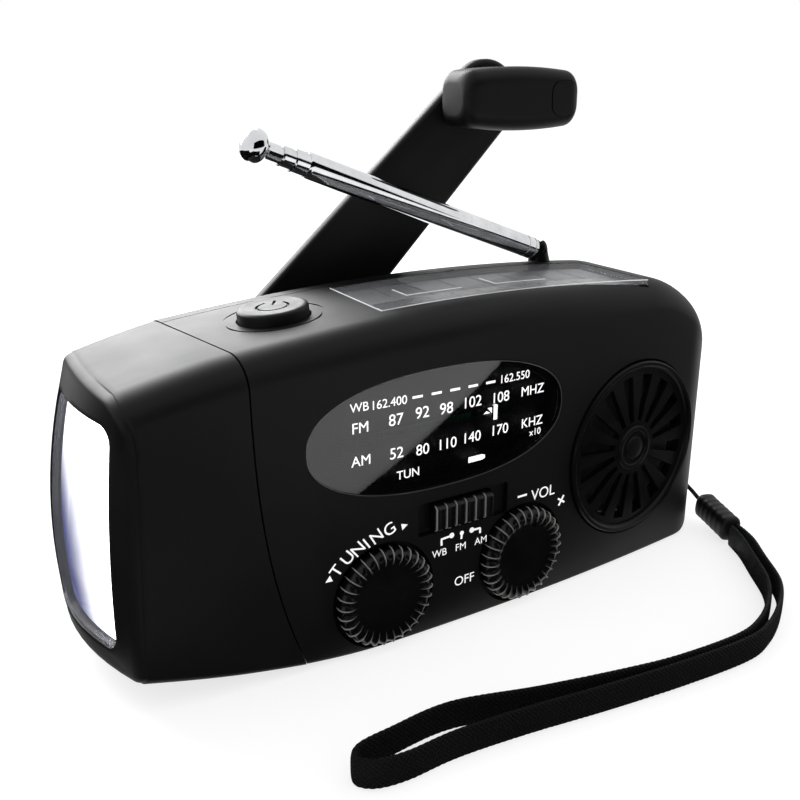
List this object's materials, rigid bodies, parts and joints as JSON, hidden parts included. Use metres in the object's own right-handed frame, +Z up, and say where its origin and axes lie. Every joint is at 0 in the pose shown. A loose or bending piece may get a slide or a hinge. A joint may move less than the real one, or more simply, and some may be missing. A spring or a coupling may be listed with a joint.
{
  "type": "wind-up emergency radio",
  "caption": "Hand-cranked emergency radio with a lamp head, oval tuning dial, fluted knobs, round speaker grille, solar panel, folding crank, telescopic antenna and wrist strap.",
  "frame": {"origin": "middle of the body's flat underside", "axes": "+X along the body away from the lamp head, +Y out of the crank side with the dial facing -Y, +Z up"},
  "size_m": [0.1445, 0.0819, 0.1033],
  "materials": {
    "soft_black": "soft-touch satin moulding",
    "gloss_black": "polished moulding",
    "knob_black": "satin moulding",
    "rubber": "matt silicone rubber",
    "chrome": "bright plating",
    "steel": "plain pressed or turned steel",
    "clear": "clear polished plastic",
    "lamp_white": "clear epoxy over a white light source",
    "smoke": "clear window over a black dial",
    "cell": "dark laminated solar cells",
    "white": "white moulding",
    "board_green": "lacquered circuit board",
    "part_grey": "dark grey component",
    "gear_ivory": "natural acetal",
    "copper": "enamelled copper wire",
    "paper": "black paper cone",
    "cell_wrap": "shrink sleeve",
    "webbing": "woven webbing"
  },
  "bodies": {
    "housing": {"band_switch": "steel", "battery_cell": "cell_wrap", "charging_socket": "steel", "dial_plate": "gloss_black", "dial_window": "smoke", "dynamo_can": "steel", "ferrite_coil": "copper", "ferrite_rod": "part_grey", "flashlight_head": "soft_black", "front_housing": "soft_black", "gear_plate": "steel", "housing_screw_1": "steel", "housing_screw_2": "steel", "housing_screw_3": "steel", "housing_screw_4": "steel", "idler_axle": "steel", "lamp_board": "board_green", "lamp_led_1": "lamp_white", "lamp_led_2": "lamp_white", "lamp_led_3": "lamp_white", "lamp_lens": "clear", "lamp_reflector": "chrome", "main_board": "board_green", "power_board": "board_green", "power_switch": "part_grey", "rear_housing": "soft_black", "solar_cells": "cell", "solar_cover": "clear", "speaker_cone": "paper", "speaker_frame": "steel", "speaker_grille": "gloss_black", "speaker_magnet": "steel", "strap_post": "steel", "strap_ribbon": "webbing", "strap_string": "webbing", "strap_tab": "gloss_black", "tuning_capacitor": "part_grey", "volume_potentiometer": "steel"},
    "crank_base": {"crank_hub": "soft_black", "crank_flip_pin": "steel", "crank_gear": "gear_ivory"},
    "crank_lever": {"crank_arm": "soft_black", "grip_rivet": "steel"},
    "crank_handle": {"crank_grip": "soft_black"},
    "idler": {"idler_gear": "gear_ivory"},
    "rotor": {"dynamo_rotor": "steel"},
    "antenna_base": {"antenna_foot": "gloss_black", "antenna_pin": "chrome"},
    "antenna_main": {"antenna_tube": "chrome"},
    "antenna_middle_1": {"antenna_section_1": "chrome"},
    "antenna_middle_2": {"antenna_section_2": "chrome"},
    "antenna_end": {"antenna_tip": "chrome"},
    "tuning": {"tuning_knob": "knob_black"},
    "pointer": {"dial_pointer": "white"},
    "volume": {"volume_knob": "knob_black"},
    "band": {"band_slider": "knob_black"},
    "power": {"power_button": "rubber"},
    "port_flap": {"port_cover": "rubber"}
  },
  "joints": [
    {"name": "crank_turn", "type": "hinge", "parent": "housing", "child": "crank_base", "pos_m": [-0.0352, 0.0204, 0.035], "axis": [0, -1, 0], "range_deg": [0, 265]},
    {"name": "crank_flip", "type": "hinge", "parent": "crank_base", "child": "crank_lever", "pos_m": [-0.0352, 0.0239, 0.035], "axis": [-0.7022, 0, 0.712], "range_deg": [0, 180]},
    {"name": "grip_spin", "type": "hinge", "parent": "crank_lever", "child": "crank_handle", "pos_m": [0.02618, 0.0208, 0.09553], "axis": [0, 1, 0], "continuous": true},
    {"name": "idler_turn", "type": "hinge", "parent": "housing", "child": "idler", "pos_m": [-0.01657, 0.0142, 0.03036], "axis": [0, -1, 0], "range_deg": [-795, 0]},
    {"name": "rotor_turn", "type": "hinge", "parent": "housing", "child": "rotor", "pos_m": [-0.00219, 0.0102, 0.02334], "axis": [0, -1, 0], "range_deg": [0, 2385]},
    {"name": "antenna_swivel", "type": "hinge", "parent": "housing", "child": "antenna_base", "pos_m": [0.03805, 0.0166, 0.06324], "axis": [0, 0, 1], "range_deg": [-3, 265]},
    {"name": "antenna_tilt", "type": "hinge", "parent": "antenna_base", "child": "antenna_main", "pos_m": [0.03805, 0.0166, 0.06324], "axis": [-0.1848, 0.9828, 0], "range_deg": [-7, 22]},
    {"name": "antenna_slide_1", "type": "slide", "parent": "antenna_main", "child": "antenna_middle_1", "axis": [-0.9262, -0.1742, 0.3345], "range_m": [0, 0.046]},
    {"name": "antenna_slide_2", "type": "slide", "parent": "antenna_middle_1", "child": "antenna_middle_2", "axis": [-0.9262, -0.1742, 0.3345], "range_m": [0, 0.046]},
    {"name": "antenna_slide_3", "type": "slide", "parent": "antenna_middle_2", "child": "antenna_end", "axis": [-0.9262, -0.1742, 0.3345], "range_m": [0, 0.046]},
    {"name": "tuning_turn", "type": "hinge", "parent": "housing", "child": "tuning", "pos_m": [-0.0189, -0.01929, 0.0107], "axis": [0.049, -0.9988, 0], "range_deg": [-38, 232]},
    {"name": "pointer_slide", "type": "slide", "parent": "housing", "child": "pointer", "axis": [0.9975, 0.0707, 0], "range_m": [-0.0256, 0.0042]},
    {"name": "volume_turn", "type": "hinge", "parent": "housing", "child": "volume", "pos_m": [0.0123, -0.01693, 0.0107], "axis": [0.1019, -0.9948, 0], "range_deg": [-190, 97]},
    {"name": "band_slide", "type": "slide", "parent": "housing", "child": "band", "axis": [0.9969, 0.0781, 0], "range_m": [-0.0028, 0.0028]},
    {"name": "power_press", "type": "slide", "parent": "housing", "child": "power", "axis": [0.1033, 0, -0.9947], "range_m": [0, 0.0008], "stiffness_N_per_m": 800},
    {"name": "port_flap_turn", "type": "hinge", "parent": "housing", "child": "port_flap", "pos_m": [-0.0085, 0.0193, 0.0072], "axis": [-1, 0, 0], "range_deg": [0, 100]}
  ],
  "couplings": [
    {"joint": "idler_turn", "follows": "crank_turn", "ratio": -3},
    {"joint": "rotor_turn", "follows": "crank_turn", "ratio": 9},
    {"joint": "pointer_slide", "follows": "tuning_turn", "m_per_rad": -0.0063}
  ]
}
